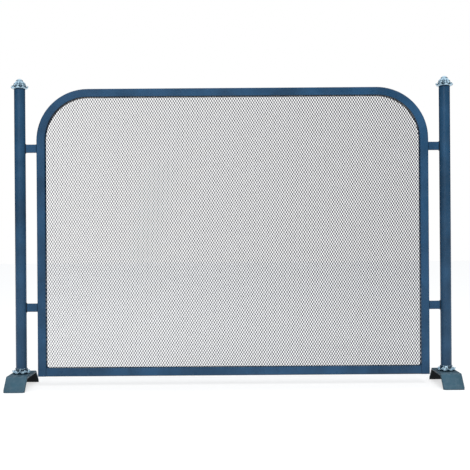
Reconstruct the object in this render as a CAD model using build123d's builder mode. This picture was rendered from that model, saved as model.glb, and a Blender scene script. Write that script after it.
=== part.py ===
"""Free-standing spark screen for a fireplace: an arched steel frame with an expanded-metal mesh,
hung by four short straps between two round posts, each on a bent-strip foot and with a flower finial.

Origin: on the floor, midway between the posts. X runs along the screen, Y from front to back,
Z up. Lengths are in millimetres.
"""
from build123d import *
from math import radians, sqrt, tan
import os

os.makedirs("parts", exist_ok=True)

# ---- Driving dimensions --------------------------------------------------------------------------
WIDTH = 650            # over the outer edges of the two feet
DEPTH = 100            # over the toes and heels of the feet
HEIGHT = 450           # floor to the tips of the finials

FOOT_STRIP = 30        # width of the strip that a foot is bent from
FOOT_GAUGE = 3         # its thickness
FOOT_RISE = 20         # floor to the foot's flat top
TOE_RADIUS = 4.5       # rounding of the strip's corners where it meets the floor
EDGE_BREAK = 0.6       # rounding of the strip's long edges

POST = 16              # outer diameter of a post tube
POST_WALL = 1.2
FINIAL_HEIGHT = 15     # post top to the tip of the finial's knob

FRAME_WIDTH = 570      # over the two legs of the hoop
FRAME_BASE = 16        # floor to the underside of the frame
FRAME_TOP = 434        # floor to the top of the hoop
FRAME_BEND = 75        # outer radius of the hoop's two bends
BAR = 12               # square tube of the frame
BAR_WALL = 1
BAR_CORNER = 1.2       # outer corner radius of that tube
GROOVE = 2.6           # slot along the tube's inner side, where the mesh enters
MESH_GAUGE = 2         # raised thickness of the expanded metal
MESH_ENTRY = 4         # how far the sheet's edge reaches into the frame

STRAP_HEIGHT = 12      # flat bar between post and frame
STRAP_GAUGE = 3
STRAP_LEVELS = {"upper": 348, "lower": 116}    # middle of each strap, above the floor

THREAD = 6             # M6 throughout
THREAD_PLAY = 0.02     # radial room between a plain shank and its tapped hole
CLEARANCE_HOLE = 6.6
INSERT_LENGTH = 14     # tapped plug in each end of a post
SCREW_LENGTH = 16
SCREW_HEAD = 10.5      # button head
SCREW_HEAD_HEIGHT = 3.3
HEX_KEY = 4            # across the flats of the socket
HEX_DEPTH = 2
WASHER = 14
WASHER_GAUGE = 1.2
STUD_LENGTH = 18
STUD_ENTRY = 10        # how much of the stud sits in the post

PETALS = 8             # in every flower
FLOWER = 27            # diameter over the petal tips
FLOWER_GAUGE = 1.4     # thickness of its floor and brim
TIP_LIFT = 5           # petal tips above the flower's seat
COLLAR_HEIGHT = 8      # the base flower's collar, above the foot
COLLAR_WALL = 1.6
POST_PLAY = 0.1        # room between the post and the flower round its foot
TIP_SAG = 0.25         # share of that lift that the brim has reached halfway out

# Rings of swellings on the flowers: ring radius, height above the piece's seat, size of a swelling
BASE_SWELLINGS = ((10.3, 5.6, 1.9), (11.7, 3.5, 1.7))
FINIAL_SWELLINGS = ((10.2, 3.6, 1.8),)
BUD_SWELLINGS = ((5.6, 3.2, 2.1), (4.3, 6.6, 1.7))

# ---- Worked out from them ------------------------------------------------------------------------
POST_X = (WIDTH - FOOT_STRIP) / 2
POST_TOP = HEIGHT - FINIAL_HEIGHT
POST_BORE = POST / 2 - POST_WALL
LEG_X = (FRAME_WIDTH - BAR) / 2
SIDES = {"left": -1, "right": 1}


def save(piece, node):
    """Label a finished piece with its node name and write it out."""
    piece.part.label = node
    export_step(piece.part, f"parts/{node}.step")


# ---- Frame ---------------------------------------------------------------------------------------
def draw_bar_section():
    """Draw the frame's tube in the open sketch: square, round corners, a groove towards its +x."""
    RectangleRounded(BAR, BAR, BAR_CORNER)
    Rectangle(BAR - 2 * BAR_WALL, BAR - 2 * BAR_WALL, mode=Mode.SUBTRACT)
    with Locations(((BAR - BAR_WALL) / 2, 0)):
        Rectangle(2 * BAR_WALL, GROOVE, mode=Mode.SUBTRACT)


# The hoop: one grooved tube bent into an upside-down U, groove inwards.
top_z = FRAME_TOP - BAR / 2
with BuildPart() as frame_hoop:
    with BuildLine() as hoop_path:
        FilletPolyline(
            (-LEG_X, 0, FRAME_BASE),
            (-LEG_X, 0, top_z),
            (LEG_X, 0, top_z),
            (LEG_X, 0, FRAME_BASE),
            radius=FRAME_BEND - BAR / 2,
        )
    with BuildSketch(Plane(origin=(-LEG_X, 0, FRAME_BASE))):
        draw_bar_section()
    sweep(path=hoop_path.line)
save(frame_hoop, "frame_hoop")

# The bottom rail: the same tube, cut to fit between the hoop's legs, groove up.
rail_half = LEG_X - BAR / 2
rail_plane = Plane(origin=(-rail_half, 0, FRAME_BASE + BAR / 2), x_dir=(0, 0, 1), z_dir=(1, 0, 0))
with BuildPart() as bottom_rail:
    with BuildSketch(rail_plane):
        draw_bar_section()
    extrude(amount=2 * rail_half)
save(bottom_rail, "bottom_rail")

# The mesh: a sheet whose edges lie in the groove, with its upper corners round like the hoop's.
mesh_half = rail_half + MESH_ENTRY
mesh_low = FRAME_BASE + BAR - MESH_ENTRY
mesh_high = FRAME_TOP - BAR + MESH_ENTRY
with BuildPart() as mesh_panel:
    with BuildSketch(Plane.XZ.offset(-MESH_GAUGE / 2)) as sheet:
        with Locations((0, (mesh_low + mesh_high) / 2)):
            Rectangle(2 * mesh_half, mesh_high - mesh_low)
        fillet(sheet.vertices().group_by(Axis.Y)[-1], FRAME_BEND - BAR + MESH_ENTRY)
    extrude(amount=MESH_GAUGE)
save(mesh_panel, "mesh_panel")


# ---- Posts and straps ----------------------------------------------------------------------------
def make_post(x):
    """Round tube that stands on the foot and carries one end of the screen."""
    with BuildPart() as post:
        with BuildSketch(Plane(origin=(x, 0, FOOT_RISE))):
            Circle(POST / 2)
            Circle(POST_BORE, mode=Mode.SUBTRACT)
        extrude(amount=POST_TOP - FOOT_RISE)
    return post


def make_strap(side, level):
    """Flat bar on edge from the hoop's leg to the post, its outer end coped to the round tube."""
    inner = FRAME_WIDTH / 2
    length = POST_X - inner
    with BuildPart() as strap:
        with BuildSketch(Plane.XY.offset(level - STRAP_HEIGHT / 2)):
            with Locations((side * (inner + length / 2), 0)):
                Rectangle(length, STRAP_GAUGE)
            with Locations((side * POST_X, 0)):
                Circle(POST / 2, mode=Mode.SUBTRACT)
        extrude(amount=STRAP_HEIGHT)
    return strap


def make_insert(x, level):
    """Tapped plug pressed into the end of a post; its thread is a plain hole."""
    with BuildPart() as insert:
        with BuildSketch(Plane(origin=(x, 0, level))):
            Circle(POST_BORE)
            Circle(THREAD / 2 + THREAD_PLAY, mode=Mode.SUBTRACT)
        extrude(amount=INSERT_LENGTH)
    return insert


# ---- Flowers -------------------------------------------------------------------------------------
def side_plane(x, z=0):
    """Upright plane across the screen at a post: its own x runs outwards, its own y runs up."""
    return Plane(origin=(x, 0, z), x_dir=(1, 0, 0), z_dir=(0, -1, 0))


def upright(x):
    """The axis of the post at x."""
    return Axis((x, 0, 0), (0, 0, 1))


def notch_and_swell(x, seat, rings):
    """Cut the open part's brim into petals, then raise swellings on them, ring by ring."""
    rim = FLOWER / 2
    notch = rim * sqrt(2) / PETALS
    with Locations((x, 0, seat + TIP_LIFT / 2)):
        with PolarLocations(rim + notch / 3, PETALS, start_angle=180 / PETALS):
            Cylinder(notch, 2 * TIP_LIFT, mode=Mode.SUBTRACT)
    raise_swellings(x, seat, rings)


def raise_swellings(x, seat, rings):
    """Raise one round swelling per petal on the open part, for each ring."""
    for radius, height, size in rings:
        with Locations((x, 0, seat + height)):
            with PolarLocations(radius, PETALS):
                Sphere(size)


def draw_brim(hub, floor_end):
    """Draw the brim's outline from the hub's underside, out to the petal tip and back to the floor."""
    rim = FLOWER / 2
    middle = (hub + rim) / 2
    tip_under = (rim, TIP_LIFT - FLOWER_GAUGE / 2)
    tip_over = (rim - FLOWER_GAUGE / 2, TIP_LIFT)
    ThreePointArc((hub, 0), (middle, TIP_LIFT * TIP_SAG), tip_under)
    Line(tip_under, tip_over)
    ThreePointArc(tip_over, (middle, TIP_LIFT * TIP_SAG + FLOWER_GAUGE), floor_end)


def make_base_rosette(x):
    """Cast flower round the foot of a post: petals low and wide, a collar up against the tube."""
    bore = POST / 2 + POST_PLAY
    hub = bore + COLLAR_WALL
    with BuildPart() as rosette:
        with BuildSketch(side_plane(x, FOOT_RISE)):
            with BuildLine():
                draw_brim(hub, (hub, FLOWER_GAUGE))
                Polyline(
                    (hub, FLOWER_GAUGE),
                    (hub, COLLAR_HEIGHT - 1),
                    (bore, COLLAR_HEIGHT),
                    (bore, 0),
                    (hub, 0),
                )
            make_face()
        revolve(axis=upright(x))
        notch_and_swell(x, FOOT_RISE, BASE_SWELLINGS)
        with Locations((x, 0, FOOT_RISE)):
            Cylinder(bore, 4 * COLLAR_HEIGHT, mode=Mode.SUBTRACT)
    return rosette


def make_finial_rosette(x):
    """Cast flower clamped between the post's top and the bud: a flat floor and a brim of petals."""
    bore = THREAD / 2 + 2 * THREAD_PLAY
    hub = POST / 2
    with BuildPart() as rosette:
        with BuildSketch(side_plane(x, POST_TOP)):
            with BuildLine():
                draw_brim(hub, (hub, FLOWER_GAUGE))
                Polyline((hub, FLOWER_GAUGE), (bore, FLOWER_GAUGE), (bore, 0), (hub, 0))
            make_face()
        revolve(axis=upright(x))
        notch_and_swell(x, POST_TOP, FINIAL_SWELLINGS)
    return rosette


def make_finial_bud(x):
    """Domed bud with a round knob, tapped from below for the stud."""
    seat = POST_TOP + FLOWER_GAUGE
    height = HEIGHT - seat
    belly = POST / 2 - 0.8
    knob = belly * 0.47
    shoulder = height - knob * 1.4
    with BuildPart() as bud:
        with BuildSketch(side_plane(x, seat)):
            with BuildLine():
                Line((0, 0), (belly, 0))
                ThreePointArc((belly, 0), (belly * 0.86, shoulder * 0.6), (knob * 0.8, shoulder))
                Polyline((knob * 0.8, shoulder), (0, shoulder), (0, 0))
            make_face()
        revolve(axis=upright(x))
        with Locations((x, 0, HEIGHT - knob)):
            Sphere(knob)
        raise_swellings(x, seat, BUD_SWELLINGS)
        with Locations((x, 0, seat)):
            Cylinder(THREAD / 2 + THREAD_PLAY, 2 * (STUD_LENGTH - STUD_ENTRY), mode=Mode.SUBTRACT)
    return bud


def make_finial_stud(x):
    """Headless stud that draws the bud down on the flower and into the post's upper plug."""
    with BuildPart() as stud:
        with BuildSketch(Plane(origin=(x, 0, POST_TOP - STUD_ENTRY))):
            Circle(THREAD / 2)
        extrude(amount=STUD_LENGTH)
        chamfer(stud.edges().filter_by(GeomType.CIRCLE), 0.5)
    return stud


# ---- Feet ----------------------------------------------------------------------------------------
def make_foot(x):
    """Strip bent into a low bridge: a flat top and two legs at 45 degrees, cut level at the floor."""
    reach = DEPTH / 2
    flat = reach - FOOT_RISE
    under = FOOT_RISE - FOOT_GAUGE
    inner_flat = flat - FOOT_GAUGE * tan(radians(22.5))
    inner_reach = reach - FOOT_GAUGE * sqrt(2)
    half = FOOT_STRIP / 2
    with BuildPart() as foot:
        with BuildSketch(Plane(origin=(x - half, 0, 0), x_dir=(0, 1, 0), z_dir=(1, 0, 0))) as bridge:
            with BuildLine():
                Polyline(
                    (-reach, 0),
                    (-flat, FOOT_RISE),
                    (flat, FOOT_RISE),
                    (reach, 0),
                    (inner_reach, 0),
                    (inner_flat, under),
                    (-inner_flat, under),
                    (-inner_reach, 0),
                    close=True,
                )
            make_face()
            fillet(bridge.vertices().group_by(Axis.Y)[-1], FOOT_GAUGE + 1)
        extrude(amount=FOOT_STRIP)
        with BuildSketch(Plane(origin=(x, 0, 0))):
            RectangleRounded(FOOT_STRIP, DEPTH, TOE_RADIUS)
        extrude(amount=FOOT_RISE, mode=Mode.INTERSECT)
        upper_faces = foot.faces().filter_by(lambda face: face.normal_at().Z > 0.5)
        fillet(upper_faces.edges().filter_by(Axis.X, reverse=True), EDGE_BREAK)
        with Locations((x, 0, FOOT_RISE)):
            Hole(CLEARANCE_HOLE / 2)
    return foot


def make_washer(x):
    """Flat washer under the foot's top."""
    with BuildPart() as washer:
        with BuildSketch(Plane(origin=(x, 0, FOOT_RISE - FOOT_GAUGE - WASHER_GAUGE))):
            Circle(WASHER / 2)
            Circle(CLEARANCE_HOLE / 2, mode=Mode.SUBTRACT)
        extrude(amount=WASHER_GAUGE)
    return washer


def make_foot_screw(x):
    """Button-head screw up through washer and foot into the post's lower plug."""
    seat = FOOT_RISE - FOOT_GAUGE - WASHER_GAUGE
    with BuildPart() as screw:
        with BuildSketch(side_plane(x, seat)):
            with BuildLine():
                Line((0, SCREW_LENGTH), (0, -SCREW_HEAD_HEIGHT))
                Line((0, -SCREW_HEAD_HEIGHT), (SCREW_HEAD * 0.25, -SCREW_HEAD_HEIGHT))
                ThreePointArc(
                    (SCREW_HEAD * 0.25, -SCREW_HEAD_HEIGHT),
                    (SCREW_HEAD * 0.42, -SCREW_HEAD_HEIGHT * 0.66),
                    (SCREW_HEAD / 2, 0),
                )
                Polyline(
                    (SCREW_HEAD / 2, 0),
                    (THREAD / 2, 0),
                    (THREAD / 2, SCREW_LENGTH - 0.8),
                    (THREAD / 2 - 0.8, SCREW_LENGTH),
                    (0, SCREW_LENGTH),
                )
            make_face()
        revolve(axis=upright(x))
        with BuildSketch(Plane(origin=(x, 0, seat - SCREW_HEAD_HEIGHT))):
            RegularPolygon(HEX_KEY / 2, 6, major_radius=False)
        extrude(amount=HEX_DEPTH, mode=Mode.SUBTRACT)
    return screw


# ---- Both ends of the screen ---------------------------------------------------------------------
for hand, side in SIDES.items():
    post_x = side * POST_X
    save(make_post(post_x), f"post_{hand}")
    for height, level in STRAP_LEVELS.items():
        save(make_strap(side, level), f"strap_{height}_{hand}")
    save(make_insert(post_x, POST_TOP - INSERT_LENGTH), f"top_insert_{hand}")
    save(make_insert(post_x, FOOT_RISE), f"bottom_insert_{hand}")
    save(make_finial_rosette(post_x), f"finial_rosette_{hand}")
    save(make_finial_bud(post_x), f"finial_bud_{hand}")
    save(make_finial_stud(post_x), f"finial_stud_{hand}")
    save(make_base_rosette(post_x), f"base_rosette_{hand}")
    save(make_foot(post_x), f"foot_{hand}")
    save(make_washer(post_x), f"foot_washer_{hand}")
    save(make_foot_screw(post_x), f"foot_screw_{hand}")
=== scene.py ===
# %% [markdown]
# # A free-standing spark screen
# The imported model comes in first: every solid of the screen, at its real size, standing on z = 0 with X along
# the screen, Y from front to back and Z up. Nothing here moves or resizes it. Pieces whose solid already has
# the right shape only get a finish. Where the solid is a plain stand-in, as for the mesh and the cast flowers,
# a new surface is worked out in its place.

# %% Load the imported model
import math

import bmesh
import bpy
import numpy as np
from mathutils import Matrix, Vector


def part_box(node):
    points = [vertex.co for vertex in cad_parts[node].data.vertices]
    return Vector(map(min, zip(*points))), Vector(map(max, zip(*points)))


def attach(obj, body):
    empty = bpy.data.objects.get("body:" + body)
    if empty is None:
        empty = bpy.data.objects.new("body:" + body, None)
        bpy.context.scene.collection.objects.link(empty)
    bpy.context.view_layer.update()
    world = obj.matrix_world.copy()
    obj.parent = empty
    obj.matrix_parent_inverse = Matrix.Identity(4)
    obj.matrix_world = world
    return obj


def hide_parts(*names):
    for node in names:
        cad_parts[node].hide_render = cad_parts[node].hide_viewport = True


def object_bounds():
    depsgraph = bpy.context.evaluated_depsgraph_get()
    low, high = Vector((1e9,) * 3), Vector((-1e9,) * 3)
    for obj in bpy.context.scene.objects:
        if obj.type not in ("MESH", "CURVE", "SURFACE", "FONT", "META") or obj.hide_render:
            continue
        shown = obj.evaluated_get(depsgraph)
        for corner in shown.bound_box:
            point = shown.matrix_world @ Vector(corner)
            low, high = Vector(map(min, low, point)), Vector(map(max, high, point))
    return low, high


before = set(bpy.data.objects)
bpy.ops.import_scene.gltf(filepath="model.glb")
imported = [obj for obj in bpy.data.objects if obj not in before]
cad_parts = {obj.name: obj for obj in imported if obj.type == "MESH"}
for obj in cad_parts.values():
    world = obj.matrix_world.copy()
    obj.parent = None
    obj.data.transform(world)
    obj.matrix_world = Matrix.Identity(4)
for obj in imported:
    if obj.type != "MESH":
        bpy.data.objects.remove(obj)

MM = 0.001
ROOT = "root"
HANDS = ("left", "right")
cad_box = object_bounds()
print("solid model:", [[round(v, 4) for v in corner] for corner in cad_box])

# %% [markdown]
# ## Camera
# The screen is seen straight on from a little under its middle, by a long lens, so its posts and rails stay
# almost parallel. A free hand holds no camera quite level, so the view is rolled by less than half a degree.

# %% Camera
VIEW_DISTANCE = 1.32
VIEW_HEIGHT = 0.220
VIEW_SIDE = 0.003
VIEW_ROLL = 0.0071
LENS = 69.25

camera = bpy.data.objects.new("camera", bpy.data.cameras.new("camera"))
bpy.context.scene.collection.objects.link(camera)
camera.data.lens = LENS
camera.data.clip_end = 50
camera.location = (VIEW_SIDE, -VIEW_DISTANCE, VIEW_HEIGHT)
camera.rotation_euler = (math.pi / 2, VIEW_ROLL, 0)
bpy.context.scene.camera = camera
bpy.context.scene.view_settings.view_transform = "Standard"
print("camera:", VIEW_DISTANCE, "m in front, lens", LENS, "mm, rolled", round(math.degrees(VIEW_ROLL), 2), "deg")

# %% [markdown]
# ## Floor, light and surroundings
# A pale floor runs out of sight, and the surroundings behind it are white, so the dark steel stands out.
# Bright metal shows whatever is around it. In an all-white room it would have no shape, so what the surfaces
# mirror is a duller, bluish sky, and only the camera sees the white one. One large soft lamp stands over the
# camera and lights the fronts. Bright metal doesn't mirror it, because there it would be a burnt-out patch, so
# a second, weaker lamp gives the sheen. The floor gives off part of its own light and stays pale far away.

# %% Floor
def add_object(name, data):
    """Put a new object at the origin of the scene."""
    made = bpy.data.objects.new(name, data)
    bpy.context.scene.collection.objects.link(made)
    return made


def new_material(name):
    """A material with its node tree, its shader and its links, ready to be wired."""
    material = bpy.data.materials.new(name)
    material.use_nodes = True
    tree = material.node_tree
    return material, tree, tree.nodes["Principled BSDF"]


FLOOR_SIZE = 12
half = FLOOR_SIZE / 2
floor_mesh = bpy.data.meshes.new("floor")
floor_corners = [(-half, -half, 0), (half, -half, 0), (half, half, 0), (-half, half, 0)]
floor_mesh.from_pydata(floor_corners, [], [(0, 1, 2, 3)])
floor = add_object("floor", floor_mesh)

floor_paint, _, floor_shader = new_material("pale_floor")
floor_shader.inputs["Base Color"].default_value = (0.36, 0.36, 0.36, 1)
floor_shader.inputs["Emission Color"].default_value = (1, 1, 1, 1)
floor_shader.inputs["Emission Strength"].default_value = 0.66
floor_shader.inputs["Roughness"].default_value = 0.9
floor_shader.inputs["Specular IOR Level"].default_value = 0.1
floor.data.materials.append(floor_paint)
print("floor:", FLOOR_SIZE, "m square")

# %% Surroundings
HORIZON = (0.015, 0.026, 0.042)
ZENITH = (1.30, 1.34, 1.38)

world = bpy.data.worlds.new("studio")
bpy.context.scene.world = world
world.use_nodes = True
sky = world.node_tree
sky.nodes.clear()
direction = sky.nodes.new("ShaderNodeTexCoord")
split = sky.nodes.new("ShaderNodeSeparateXYZ")
height = sky.nodes.new("ShaderNodeMapRange")
height.inputs["From Min"].default_value = 0.34
height.inputs["From Max"].default_value = 0.85
blend_sky = sky.nodes.new("ShaderNodeMix")
blend_sky.data_type = "RGBA"
blend_sky.inputs[6].default_value = (*HORIZON, 1)
blend_sky.inputs[7].default_value = (*ZENITH, 1)
mirrored = sky.nodes.new("ShaderNodeBackground")
seen = sky.nodes.new("ShaderNodeBackground")
seen.inputs["Color"].default_value = (1, 1, 1, 1)
path = sky.nodes.new("ShaderNodeLightPath")
choose = sky.nodes.new("ShaderNodeMixShader")
output = sky.nodes.new("ShaderNodeOutputWorld")
for start, end in (
    (direction.outputs["Generated"], split.inputs[0]),
    (split.outputs["Z"], height.inputs["Value"]),
    (height.outputs["Result"], blend_sky.inputs[0]),
    (blend_sky.outputs[2], mirrored.inputs["Color"]),
    (path.outputs["Is Camera Ray"], choose.inputs["Fac"]),
    (mirrored.outputs["Background"], choose.inputs[1]),
    (seen.outputs["Background"], choose.inputs[2]),
    (choose.outputs["Shader"], output.inputs["Surface"]),
):
    sky.links.new(start, end)
print("surroundings:", HORIZON, "at the horizon to", ZENITH, "overhead")


# %% Lamps
def add_lamp(name, place, target, size, power):
    """A square soft lamp at a place, turned to face a target."""
    lamp = bpy.data.lights.new(name, "AREA")
    lamp.shape = "SQUARE"
    lamp.size = size
    lamp.energy = power
    made = add_object(name, lamp)
    made.location = place
    away = made.location - type(made.location)(target)
    made.rotation_euler = away.to_track_quat("Z", "Y").to_euler()
    return made


middle = (cad_box[0] + cad_box[1]) / 2
key = add_lamp("key", (0.3, -2.3, 1.8), middle, 1.1, 54)
key.visible_glossy = False
sheen = add_lamp("sheen", (-0.5, -2.4, 1.2), middle, 1.6, 9)
for lamp in (key, sheen):
    print(f"lamp {lamp.name}: {lamp.data.energy:.0f} W, {lamp.data.size:.1f} m wide")

# %% [markdown]
# ## Stove enamel
# The steel is painted a dark steel blue. Sprayed enamel isn't flat: it has a fine orange-peel skin, and its
# colour drifts a little from place to place. Its sharp edges and the faces turned down are painted darker, as
# painted shade where the rounded edges and undersides turn away from the light.
# Everything is mixed from noise in the object's own coordinates, so it lies still on the steel. A bevel node
# finds the edges: it gives the normal that a rounded edge would have, and where that differs from the true
# one, there is an edge.

# %% Enamel
def node(tree, kind, **settings):
    """Add a node and set its sockets by name; a key in capitals is a property of the node itself."""
    made = tree.nodes.new(kind)
    for key, value in settings.items():
        if key.isupper():
            setattr(made, key.lower(), value)
        else:
            made.inputs[key].default_value = value
    return made


def noise(tree, scale, detail=3.0, stretch=(1, 1, 1)):
    """Noise on the object's own coordinates, stretched along the axes, as a value from 0 to 1."""
    place = node(tree, "ShaderNodeTexCoord")
    mapping = node(tree, "ShaderNodeMapping", Scale=stretch)
    made = node(tree, "ShaderNodeTexNoise", Scale=scale, Detail=detail)
    tree.links.new(place.outputs["Object"], mapping.inputs["Vector"])
    tree.links.new(mapping.outputs["Vector"], made.inputs["Vector"])
    return made.outputs["Fac"]


def remap(tree, value, low, high, to_low=0.0, to_high=1.0):
    """Spread a value from low..high to to_low..to_high, clamped."""
    made = node(tree, "ShaderNodeMapRange")
    for index, bound in enumerate((low, high, to_low, to_high), start=1):
        made.inputs[index].default_value = bound
    tree.links.new(value, made.inputs[0])
    return made.outputs[0]


def times(tree, first, second):
    """The product of two values."""
    made = node(tree, "ShaderNodeMath", OPERATION="MULTIPLY")
    tree.links.new(first, made.inputs[0])
    if isinstance(second, float):
        made.inputs[1].default_value = second
    else:
        tree.links.new(second, made.inputs[1])
    return made.outputs[0]


def mix_colour(tree, share, under, over):
    """The colour under, covered by the colour over in that share. Each is a socket or plain numbers."""
    made = node(tree, "ShaderNodeMix", DATA_TYPE="RGBA")
    tree.links.new(share, made.inputs[0])
    for socket, colour in ((made.inputs[6], under), (made.inputs[7], over)):
        if isinstance(colour, tuple):
            socket.default_value = (*colour, 1)
        else:
            tree.links.new(colour, socket)
    return made.outputs[2]


def edges(tree, radius, low, high):
    """1 on edges sharper than a radius, 0 on flat stretches."""
    rounded = node(tree, "ShaderNodeBevel", SAMPLES=6, Radius=radius)
    true = node(tree, "ShaderNodeNewGeometry")
    match = node(tree, "ShaderNodeVectorMath", OPERATION="DOT_PRODUCT")
    tree.links.new(rounded.outputs["Normal"], match.inputs[0])
    tree.links.new(true.outputs["Normal"], match.inputs[1])
    return remap(tree, match.outputs["Value"], 1 - low, 1 - high)


def facing(tree, way, low=0.55, high=1.0):
    """1 on surfaces that face up (way 1) or down (way -1), 0 on upright ones, by the normal's Z."""
    true = node(tree, "ShaderNodeNewGeometry")
    parts = node(tree, "ShaderNodeSeparateXYZ")
    tree.links.new(true.outputs["Normal"], parts.inputs[0])
    return remap(tree, parts.outputs["Z"], way * low, way * high)


def bump(tree, shader, height, depth, strength=1.0):
    """Raise the shader's surface by a height of 0 to 1, times a depth in metres."""
    made = node(tree, "ShaderNodeBump", Strength=strength, Distance=depth)
    tree.links.new(height, made.inputs["Height"])
    tree.links.new(made.outputs["Normal"], shader.inputs["Normal"])


def enamel(name, colour, gloss_low, gloss_high, edge_shade_strength=0.8, shine=0.26, edge_shade_reach=1.6 * MM):
    """Sprayed enamel: colour drift, orange peel, uneven gloss, dust on top, painted edge and underside shade."""
    material, tree, shader = new_material(name)
    deep = tuple(0.74 * c for c in colour)
    pale = tuple(1.22 * c for c in colour)
    drift = remap(tree, noise(tree, 22.0, 5.0), 0.34, 0.66)
    body = mix_colour(tree, drift, deep, pale)
    smears = remap(tree, noise(tree, 30.0, 5.0, (1, 1, 0.12)), 0.5, 0.72, 0.0, 0.30)
    body = mix_colour(tree, smears, body, tuple(1.5 * c for c in colour))
    specks = remap(tree, noise(tree, 1100.0, 1.0), 0.70, 0.78, 0.0, 0.45)
    body = mix_colour(tree, specks, body, tuple(2.4 * c for c in colour))
    dust = times(tree, facing(tree, 1), remap(tree, noise(tree, 160.0, 5.0), 0.4, 0.75, 0.0, 0.25))
    body = mix_colour(tree, dust, body, (0.30, 0.33, 0.36))
    # Faces turned down are painted dark: painted shade on the undersides.
    body = mix_colour(tree, facing(tree, -1, 0.15, 0.6), body, tuple(0.06 * c for c in colour))
    # Sharp edges are painted darker: painted shade where rounded edges turn away from the light.
    patchy = remap(tree, noise(tree, 90.0, 4.0), 0.35, 0.65, 0.6, 1.0)
    edge_shade = times(tree, edges(tree, edge_shade_reach, 0.004, 0.10), patchy)
    body = mix_colour(tree, times(tree, edge_shade, edge_shade_strength), body, tuple(0.16 * c for c in colour))
    tree.links.new(body, shader.inputs["Base Color"])
    patches = noise(tree, 60.0, 5.0)
    tree.links.new(remap(tree, patches, 0.35, 0.65, gloss_low, gloss_high), shader.inputs["Roughness"])
    shader.inputs["Specular IOR Level"].default_value = shine
    bump(tree, shader, noise(tree, 700.0, 3.0), 0.00022, 0.8)
    return material


FRAME_BLUE = (0.013, 0.050, 0.106)
POST_BLUE = (0.015, 0.049, 0.098)
FOOT_BLUE = (0.036, 0.078, 0.108)
frame_enamel = enamel("frame_enamel", FRAME_BLUE, 0.24, 0.46)
post_enamel = enamel("post_enamel", POST_BLUE, 0.20, 0.38)
# The foot's edges get a stronger painted shade, over a narrower reach.
foot_enamel = enamel("foot_enamel", FOOT_BLUE, 0.34, 0.5, edge_shade_strength=0.9, shine=0.06, edge_shade_reach=1.4 * MM)
# The straps' weld beads are painted a quarter as bright as the frame: painted shade at the strap ends.
weld_shade_enamel = enamel("weld_shade_enamel", tuple(0.25 * c for c in FRAME_BLUE), 0.34, 0.5)
print("enamels:", [paint.name for paint in (frame_enamel, post_enamel, foot_enamel, weld_shade_enamel)])

# %% Paint the steel
painted = {
    frame_enamel: ("frame_hoop", "bottom_rail", "strap_upper_left", "strap_upper_right",
                   "strap_lower_left", "strap_lower_right"),
    post_enamel: ("post_left", "post_right"),
    foot_enamel: ("foot_left", "foot_right"),
}


def finish_nodes(finishes):
    """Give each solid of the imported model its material."""
    for material, names in finishes.items():
        print(material.name, "on", ", ".join(names))
        for name in names:
            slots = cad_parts[name].data.materials
            slots.clear()
            slots.append(material)


finish_nodes(painted)

# %% [markdown]
# ## Surfaces from formulas
# Every new piece is a surface worked out on a grid: two parameters run over a rectangle, and a formula turns
# the whole arrays of them into points at once. The grid's neighbours give the faces. Where a parameter goes
# round, the grid wraps, so the surface closes.

# %% Grid helpers
def grid_faces(rows, columns, wrap_rows=False, wrap_columns=False):
    """Quads between neighbouring points of a rows x columns grid, facing out when rows x columns does."""
    i, j = np.meshgrid(
        np.arange(rows if wrap_rows else rows - 1),
        np.arange(columns if wrap_columns else columns - 1),
        indexing="ij",
    )
    down, right = (i + 1) % rows, (j + 1) % columns
    quads = (i * columns + j, i * columns + right, down * columns + right, down * columns + j)
    return np.stack(quads, axis=-1).reshape(-1, 4)


def add_piece(name, points, faces, material, smooth=True, stands_for=(), close=False):
    """Make a piece from points in metres and faces, which rides on the screen's one body.

    close merges points that lie in one place, as they do at a pole, so the surface has no hole there. The
    volume inside the surface is printed: it is the sum of the cones from the origin to each triangle, and it
    comes out negative where the faces point inwards.
    """
    mesh = bpy.data.meshes.new(name)
    mesh.from_pydata(points.reshape(-1, 3), [], faces)
    if close:
        merged = bmesh.new()
        merged.from_mesh(mesh)
        bmesh.ops.remove_doubles(merged, verts=merged.verts, dist=1e-6)
        merged.to_mesh(mesh)
        merged.free()
    mesh.polygons.foreach_set("use_smooth", np.full(len(mesh.polygons), smooth))
    mesh.materials.append(material)
    mesh.update()
    piece = add_object(name, mesh)
    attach(piece, ROOT)
    if stands_for:
        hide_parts(*stands_for)
    mesh.calc_loop_triangles()
    corners = np.empty(len(mesh.loop_triangles) * 3, dtype=int)
    mesh.loop_triangles.foreach_get("vertices", corners)
    place = np.empty(len(mesh.vertices) * 3)
    mesh.vertices.foreach_get("co", place)
    a, b, c = place.reshape(-1, 3)[corners.reshape(-1, 3)].transpose(1, 0, 2)
    volume = float((a * np.cross(b, c)).sum()) / 6
    print(f"{name}: {len(mesh.loop_triangles)} triangles, {volume / MM**3:.1f} mm3 inside")
    return piece


# %% [markdown]
# ## Expanded metal
# The guard is expanded metal: a thin steel sheet is slit in staggered rows and pulled sideways, so each slit
# opens into a diamond and the strips between the slits twist out of the sheet's plane. Woven wire would show
# crossings; here the strands meet flat, side by side, in short bonds.
#
# The sheet is a row of upright wavy strips. Strip number k swings between two columns half a mesh apart. At
# each bond it lies edge to edge with its neighbour. Every strip is tilted by the same angle, so where it is
# the right half of a bond it stands towards the room, and where it is the left half, towards the fire.
# Its section is a thin rectangle, four points, carried through the bonds' lower and upper ends. The paint on it
# is thin and dark, so its material is the enamel's simpler relative.

# %% Mesh sizes
low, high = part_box("mesh_panel")
rail_low, rail_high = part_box("bottom_rail")

PITCH_X = 3.73 * MM
PITCH_Z = 5.83 * MM
STRAND = 1.05 * MM
SHEET = 0.35 * MM
TILT = math.radians(56)
BOND = 1.5 * MM
BAR = rail_high.z - rail_low.z
BEND = 75 * MM
ENTRY = rail_low.x - low.x
mesh_bend = BEND - BAR + ENTRY
PANEL_PIECES = 4
print("sheet:", round((high.x - low.x) / MM, 1), "x", round((high.z - low.z) / MM, 1), "mm")


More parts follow.
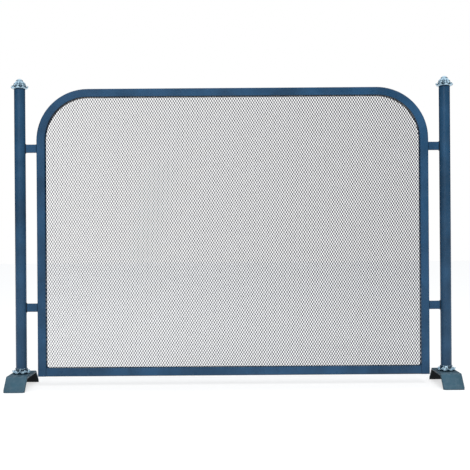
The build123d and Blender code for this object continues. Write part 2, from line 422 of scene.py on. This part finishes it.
# %% Mesh strips
def strip_points(number, levels, bond_side):
    """Corner points of strips: [strip, level, corner, xyz].

    The middle of a strip lies half a strand's width inside its column, along the tilted direction, and
    bond_side says which column: 0 left, 1 right. The four corners are half a width and half a thickness away.
    """
    across = np.array([math.cos(TILT), -math.sin(TILT), 0])
    through = np.array([math.sin(TILT), math.cos(TILT), 0])
    column = (number[:, None] + bond_side) * PITCH_X / 2
    inward = 1 - 2 * bond_side
    middle = np.stack([column, np.zeros_like(column), np.broadcast_to(levels, column.shape)], axis=-1)
    middle = middle + inward[..., None] * across * STRAND / 2
    corners = ((-1, -1), (1, -1), (1, 1), (-1, 1))
    steps = np.array([w * across * STRAND / 2 + t * through * SHEET / 2 for w, t in corners])
    return middle[:, :, None, :] + steps


def arch_height(x):
    """Top of the sheet at x: level between the bends, then a quarter circle down to each side."""
    beyond = np.clip(np.abs(x) - (high.x - mesh_bend), 0, mesh_bend)
    return high.z - mesh_bend + np.sqrt(mesh_bend**2 - beyond**2)


strip_count = int((high.x - low.x) / (PITCH_X / 2)) - 1
numbers = np.arange(strip_count) - strip_count // 2
rows = np.arange(int((high.z - low.z) / (PITCH_Z / 2)))
bond_middle = low.z + (rows + 0.5) * PITCH_Z / 2
levels = (bond_middle[:, None] + np.array([-BOND / 2, BOND / 2])).ravel()
side = (numbers[:, None] + np.repeat(rows, 2)) % 2
points = strip_points(numbers, levels, side)
inside = points[:, :, 0, 2] < arch_height(points[:, :, 0, 0])
print("mesh:", strip_count, "strips,", len(rows), "rows of bonds, thickness",
      round(float(np.ptp(points[..., 1])) / MM, 2), "mm")


# %% Mesh finish
def thin_mesh_enamel():
    """Thin dark enamel on expanded steel, whose colour drifts a little over the sheet."""
    material, tree, shader = new_material("mesh_enamel")
    drift = remap(tree, noise(tree, 40.0, 4.0), 0.3, 0.7)
    body = mix_colour(tree, drift, (0.007, 0.013, 0.026), (0.016, 0.028, 0.052))
    tree.links.new(body, shader.inputs["Base Color"])
    tree.links.new(remap(tree, noise(tree, 300.0, 3.0), 0.3, 0.7, 0.3, 0.5), shader.inputs["Roughness"])
    shader.inputs["Specular IOR Level"].default_value = 0.15
    bump(tree, shader, noise(tree, 1500.0, 2.0), 0.00002)
    return material


mesh_enamel = thin_mesh_enamel()
print("mesh finish:", mesh_enamel.name)


# %% Mesh pieces
def tube_faces(strip_inside):
    """Faces of one piece's strips: four sides between neighbouring levels inside, and two end caps."""
    strips, steps = strip_inside.shape
    strip, step = np.nonzero(strip_inside[:, :-1] & strip_inside[:, 1:])
    base = (strip * steps + step) * 4
    sides = []
    for corner in range(4):
        following = (corner + 1) % 4
        below, above = (base + corner, base + following), (base + 4 + following, base + 4 + corner)
        sides.append(np.stack([*below, *above], axis=-1))
    last = strip_inside.sum(axis=1) - 1
    foot = np.arange(strips) * steps * 4
    head = foot + last * 4
    caps = [foot[:, None] + np.array([3, 2, 1, 0]), head[:, None] + np.array([0, 1, 2, 3])]
    return np.concatenate(sides + caps)


for index, group in enumerate(np.array_split(np.arange(strip_count), PANEL_PIECES)):
    faces = tube_faces(inside[group])
    used, faces = np.unique(faces, return_inverse=True)
    add_piece(f"mesh_section_{index + 1}", points[group].reshape(-1, 3)[used], faces.reshape(-1, 4),
              mesh_enamel, smooth=False, stands_for=("mesh_panel",))

# %% [markdown]
# ## Cast flowers
# The same little flower sits at both ends of each post: eight pointed petals, turned up at their tips, each
# with a vein and rounded swellings, as a small casting has. It could be sculpted, but a formula keeps all four
# alike and their petals even.
#
# Round the post runs the angle. Across the casting's wall runs a second angle: its cosine moves from the bore
# to the petal tip, its sine from the underside to the top, both raised to a small power, which turns the
# circle into a strip with round edges. The tip's radius shrinks between the petals, and the top is lifted by a
# collar and by rings of swellings, two on the lower flowers and one on the upper.

# %% Flower sizes
PETALS = 8
FLOWER_GAUGE = 1.4 * MM
BASE_LIFT = 4 * MM
FINIAL_LIFT = 2.6 * MM
COLLAR_WALL = 1.3 * MM
POST_PLAY = 0.1 * MM
STUD_BORE = 3.1 * MM
SECTION_POWER = 0.36
AROUND = PETALS * 26
ACROSS = 84
print("flower:", PETALS, "petals on a grid of", AROUND, "by", ACROSS, "points")


# %% Flower surface
def soft_sign_power(value, power):
    """A value of -1 to 1 raised to a power, keeping its sign: small powers make a circle square."""
    return np.sign(value) * np.abs(value) ** power


def petal_shape(angle):
    """1 along each petal's middle and 0 between two petals."""
    return np.cos(angle * PETALS / 2) ** 2


def swelling(radius, petal, ring, size, height):
    """A round bump on each petal at a ring's radius: a bell curve in radius, times the petal's shape."""
    return height * np.exp(-(((radius - ring) / size) ** 2)) * petal**2.2


def flower_points(centre, seat, bore, tip, hub, collar, lift, rings):
    """Points of one flower round the axis at x = centre, standing on the plane z = seat, its tips lifted."""
    angle, wall = np.meshgrid(
        np.linspace(0, 2 * np.pi, AROUND, endpoint=False),
        np.linspace(0, 2 * np.pi, ACROSS, endpoint=False),
        indexing="ij",
    )
    petal = petal_shape(angle)
    rim = tip * (0.84 + 0.16 * petal**0.7)
    along = (soft_sign_power(np.cos(wall), SECTION_POWER) + 1) / 2
    above = (soft_sign_power(np.sin(wall), SECTION_POWER) + 1) / 2
    radius = bore + (rim - bore) * along
    reach = np.clip((radius - hub) / (tip - hub), 0, 1)
    under = lift * reach**2.4 * (0.55 + 0.45 * petal)
    wall_height = FLOWER_GAUGE * (1 - 0.15 * reach)
    wall_height = wall_height + (collar - FLOWER_GAUGE) * np.exp(-(((radius - bore) / COLLAR_WALL) ** 4))
    for ring, size, height in rings:
        wall_height = wall_height + swelling(radius, petal, ring, size, height)
    across = np.abs((angle * PETALS / (2 * np.pi) + 0.5) % 1 - 0.5) * 2 * np.pi / PETALS * radius
    vein = 0.30 * MM * np.exp(-((across / (0.28 * MM)) ** 2)) * (reach > 0)
    z = seat + under + above * (wall_height - vein)
    return np.stack([centre + radius * np.sin(angle), -radius * np.cos(angle), z], axis=-1)


flower_faces = grid_faces(AROUND, ACROSS, wrap_rows=True, wrap_columns=True)[:, ::-1]


# %% [markdown]
# ## Bright plating
# The flowers are plated bright. Plating mirrors its surroundings, and its grooves are painted dark, as painted
# shade. The grooves are found with ambient occlusion, which is dark where surfaces crowd together, and the
# surface keeps the small unevenness of a casting.

# %% Plating
def plating(name, colour, groove_shade_colour, groove_shade_reach):
    """Bright plating with painted shade in its grooves and a slightly uneven surface."""
    material, tree, shader = new_material(name)
    crowd = node(tree, "ShaderNodeAmbientOcclusion", SAMPLES=8, Distance=groove_shade_reach)
    patchy = remap(tree, noise(tree, 500.0, 3.0), 0.3, 0.6, 0.7, 1.0)
    # Where surfaces crowd together the plating is painted dark: painted shade in the grooves.
    groove_shade = times(tree, remap(tree, crowd.outputs["AO"], 0.92, 0.55), patchy)
    drift = remap(tree, noise(tree, 120.0, 3.0), 0.35, 0.65)
    unshaded_plate = mix_colour(tree, drift, tuple(0.8 * c for c in colour), colour)
    tree.links.new(mix_colour(tree, groove_shade, unshaded_plate, groove_shade_colour), shader.inputs["Base Color"])
    shader.inputs["Metallic"].default_value = 1.0
    tree.links.new(remap(tree, noise(tree, 260.0, 4.0), 0.3, 0.7, 0.12, 0.28), shader.inputs["Roughness"])
    bump(tree, shader, noise(tree, 420.0, 3.0), 0.00012, 0.5)
    return material


# The third colour is the painted shade in the grooves, which reaches 3.2 mm.
bright_plating = plating("bright_plating", (0.47, 0.65, 0.77), (0.012, 0.036, 0.055), 3.2 * MM)
print("plating:", bright_plating.name)

# %% Flowers
flower_low, flower_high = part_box("base_rosette_left")
flower_tip = (flower_high.x - flower_low.x) / 2
for hand in HANDS:
    post_low, post_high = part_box(f"post_{hand}")
    post_x = (post_low.x + post_high.x) / 2
    post_radius = (post_high.x - post_low.x) / 2
    base_low, base_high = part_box(f"base_rosette_{hand}")
    base = flower_points(
        post_x, base_low.z, post_radius + POST_PLAY, flower_tip, post_radius + 1.6 * MM,
        base_high.z - base_low.z, BASE_LIFT,
        rings=((10.2 * MM, 1.1 * MM, 4.4 * MM), (12.0 * MM, 0.8 * MM, 1.9 * MM)),
    )
    add_piece(f"base_flower_{hand}", base, flower_faces, bright_plating,
              stands_for=(f"base_rosette_{hand}",))
    crown = flower_points(
        post_x, post_high.z, STUD_BORE, 0.94 * flower_tip, post_radius, FLOWER_GAUGE,
        FINIAL_LIFT,
        rings=((11.0 * MM, 1.5 * MM, 2.6 * MM),),
    )
    add_piece(f"finial_flower_{hand}", crown, flower_faces, bright_plating,
              stands_for=(f"finial_rosette_{hand}",))

# %% [markdown]
# ## Buds
# Above each upper flower rises a bud: a blunt cone wrapped in eight leaves, with a round knob on top. It is a
# surface of revolution whose radius also depends on the angle. One curve gives the outline, a neck is taken
# out of it under the knob, and the leaves stand out where a petal's middle is, in two swellings.

# %% Bud
BUD_ROWS = 100
BUD_FLOOR_ROWS = 8
BUD_BELLY = 9 * MM
BUD_BEADS = ((3.6 * MM, 1.4 * MM, 1.3 * MM), (6.6 * MM, 1.1 * MM, 1.0 * MM))


def bud_points(centre, seat, top, belly):
    """Points of one bud, [row, angle, xyz]: level floor from its middle out, then the outside up to the top.

    Outside, the radius is one minus a power of the height, raised to a power: broad below, round above.
    A bell curve takes a neck out of it under the knob, each leaf's edges are creased in, and two beads stand
    out on every leaf.
    """
    angle = np.linspace(0, 2 * np.pi, AROUND, endpoint=False)[None, :]
    rise = (1 - np.cos(np.linspace(0, np.pi, BUD_ROWS)))[:, None] / 2
    height = rise * (top - seat)
    outline = belly * np.clip(1 - rise**1.9, 0, 1) ** 0.52
    neck = 0.12 * np.exp(-(((rise - 0.74) / 0.05) ** 2))
    petal = petal_shape(angle)
    crease = 0.18 * (1 - petal) ** 2 * np.clip((0.76 - rise) / 0.1, 0, 1)
    radius = outline * (1 - neck - crease)
    for middle_height, size, bulge in BUD_BEADS:
        radius = radius + bulge * np.exp(-(((height - middle_height) / size) ** 2)) * petal**2.5
    level = np.broadcast_to(seat + height, radius.shape)
    shell = np.stack([centre + radius * np.sin(angle), -radius * np.cos(angle), level], axis=-1)
    axis = np.array([centre, 0, seat])
    floor_disc = axis + (shell[:1] - axis) * np.linspace(0, 1, BUD_FLOOR_ROWS, endpoint=False)[:, None, None]
    return np.concatenate([floor_disc, shell])


for hand in HANDS:
    bud_low, bud_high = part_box(f"finial_bud_{hand}")
    bud_x = (bud_low.x + bud_high.x) / 2
    bud = bud_points(bud_x, bud_low.z, bud_high.z, BUD_BELLY)
    add_piece(f"bud_{hand}", bud, grid_faces(*bud.shape[:2], wrap_columns=True), bright_plating,
              stands_for=(f"finial_bud_{hand}",), close=True)

# %% [markdown]
# ## Screws, washers, studs and inserts
# The hidden hardware is zinc-plated: duller than chrome, greyish, with a faint crystal pattern that a cell
# texture gives. The threaded inserts inside the tubes are plain turned steel, so their fine tool marks run
# round, as noise that is squeezed along Z.

# %% Hardware finishes
def zinc(name):
    """Zinc plate: grey metal with pale crystals and spots of white bloom."""
    material, tree, shader = new_material(name)
    place = node(tree, "ShaderNodeTexCoord")
    cells = node(tree, "ShaderNodeTexVoronoi", Scale=900.0)
    tree.links.new(place.outputs["Object"], cells.inputs["Vector"])
    crystals = remap(tree, cells.outputs["Distance"], 0.1, 0.7)
    grey = mix_colour(tree, crystals, (0.30, 0.32, 0.34), (0.46, 0.48, 0.50))
    bloom = remap(tree, noise(tree, 350.0, 4.0), 0.6, 0.8, 0.0, 0.35)
    tree.links.new(mix_colour(tree, bloom, grey, (0.62, 0.62, 0.60)), shader.inputs["Base Color"])
    shader.inputs["Metallic"].default_value = 0.95
    tree.links.new(remap(tree, noise(tree, 220.0, 4.0), 0.3, 0.7, 0.28, 0.5), shader.inputs["Roughness"])
    bump(tree, shader, cells.outputs["Distance"], 0.00003)
    return material


def turned_steel(name):
    """Plain turned steel: fine rings from the tool, and a brown touch where oil has dried."""
    material, tree, shader = new_material(name)
    rings = noise(tree, 300.0, 3.0, (0.05, 0.05, 6.0))
    steel = mix_colour(tree, rings, (0.30, 0.30, 0.30), (0.46, 0.46, 0.47))
    oil = remap(tree, noise(tree, 140.0, 4.0), 0.55, 0.75, 0.0, 0.6)
    tree.links.new(mix_colour(tree, oil, steel, (0.20, 0.15, 0.10)), shader.inputs["Base Color"])
    shader.inputs["Metallic"].default_value = 1.0
    tree.links.new(remap(tree, rings, 0.3, 0.7, 0.25, 0.45), shader.inputs["Roughness"])
    bump(tree, shader, rings, 0.00004)
    return material


zinc_pieces = ("foot_screw", "foot_washer", "finial_stud")
steel_pieces = ("top_insert", "bottom_insert")
finish_nodes({
    zinc("zinc_plate"): [f"{piece}_{hand}" for piece in zinc_pieces for hand in HANDS],
    turned_steel("turned_steel"): [f"{piece}_{hand}" for piece in steel_pieces for hand in HANDS],
})

# %% [markdown]
# ## Welds
# The straps are welded all round to the post and to the frame, and the bottom rail into the frame's legs.
# A weld bead is a roll of metal with a ripple for every step of the torch. Round a strap it is a tube on a
# squared ring, its radius swells with the ripples, and it lies half sunk in the corner that it fills. Between
# rail and leg it is a small hollow fillet. The paint covers both. The straps' beads are painted darker, as
# painted shade where the straps meet post and frame.

# %% Weld beads
WELD = 1.1 * MM
RIPPLE = 1.3 * MM
WELD_STEPS = 144
WELD_SIDES = 14


def weld_ring(plane_x, middle_y, middle_z, half_y, half_z):
    """A rippled tube round a strap's end: [path angle, tube angle, xyz].

    The path is the strap's outline as a squared circle: the cosine and sine of an angle, raised to a small
    power. The tube's radius is a weld bead's, times one plus a cosine of the distance along the path.
    """
    path, tube = np.meshgrid(
        np.linspace(0, 2 * np.pi, WELD_STEPS, endpoint=False),
        np.linspace(0, 2 * np.pi, WELD_SIDES, endpoint=False),
        indexing="ij",
    )
    y = half_y * soft_sign_power(np.cos(path), 0.3)
    z = half_z * soft_sign_power(np.sin(path), 0.3)
    steps = np.hypot(np.diff(y[:, 0], append=y[:1, 0]), np.diff(z[:, 0], append=z[:1, 0]))
    travelled = (np.cumsum(steps) - steps)[:, None]
    ripples = round(float(steps.sum()) / RIPPLE)
    bead = WELD * (1 + 0.13 * np.cos(2 * np.pi * ripples * travelled / float(steps.sum())))
    outward_y, outward_z = soft_sign_power(np.cos(path), 0.6), soft_sign_power(np.sin(path), 0.6)
    length = np.hypot(outward_y, outward_z)
    spread = bead * np.cos(tube)
    return np.stack([
        plane_x + bead * np.sin(tube),
        middle_y + y + spread * outward_y / length,
        middle_z + z + spread * outward_z / length,
    ], axis=-1)


weld_faces = grid_faces(WELD_STEPS, WELD_SIDES, wrap_rows=True, wrap_columns=True)[:, ::-1]
for hand in HANDS:
    rings = []
    for level in ("upper", "lower"):
        strap_low, strap_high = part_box(f"strap_{level}_{hand}")
        strap_middle, strap_half = (strap_low + strap_high) / 2, (strap_high - strap_low) / 2
        for end_x in (strap_low.x, strap_high.x):
            rings.append(weld_ring(end_x, strap_middle.y, strap_middle.z, strap_half.y, strap_half.z))
    ring_points = np.stack(rings)
    ring_faces = np.concatenate([weld_faces + index * WELD_STEPS * WELD_SIDES for index in range(len(rings))])
    add_piece(f"strap_welds_{hand}", ring_points, ring_faces, weld_shade_enamel)

# %% Corner welds
CORNER_WELD = 4 * MM
CORNER_STEPS = 60
FACE_STEPS = 12
FRAME_INSET = 0.8 * MM


def corner_weld(corner_x, corner_z, way, front, back):
    """A hollow fillet in the corner between rail and leg: [step across, point round the section, xyz].

    The section's face is a quarter circle hollowed out of the corner; the rest of it is sunk in the steel.
    Across the frame the fillet's size ripples, and it closes to a point at both ends.
    """
    turn = np.linspace(0, np.pi / 2, FACE_STEPS)
    face = np.stack([1 - np.cos(turn), 1 - np.sin(turn)], axis=-1)
    section = np.concatenate([face, [(0.9, -0.12), (-0.12, -0.12), (-0.12, 0.9)]])
    share = np.linspace(0, 1, CORNER_STEPS)
    ripple = 1 + 0.05 * np.cos(2 * np.pi * share * (back - front) / RIPPLE)
    size = CORNER_WELD * (np.sin(np.pi * share) ** 0.25) * ripple
    y = front + (back - front) * share
    return np.stack([
        corner_x + way * size[:, None] * section[None, :, 0],
        np.broadcast_to(y[:, None], (CORNER_STEPS, len(section))),
        corner_z + size[:, None] * section[None, :, 1],
    ], axis=-1)


for hand in HANDS:
    way = 1 if hand == "left" else -1
    corner_x = rail_low.x if hand == "left" else rail_high.x
    front, back = rail_low.y + FRAME_INSET, rail_high.y - FRAME_INSET
    fillet = corner_weld(corner_x, rail_high.z, way, front, back)
    fillet_faces = grid_faces(*fillet.shape[:2], wrap_columns=True)
    if way < 0:
        fillet_faces = fillet_faces[:, ::-1]
    add_piece(f"corner_weld_{hand}", fillet, fillet_faces, frame_enamel, close=True)
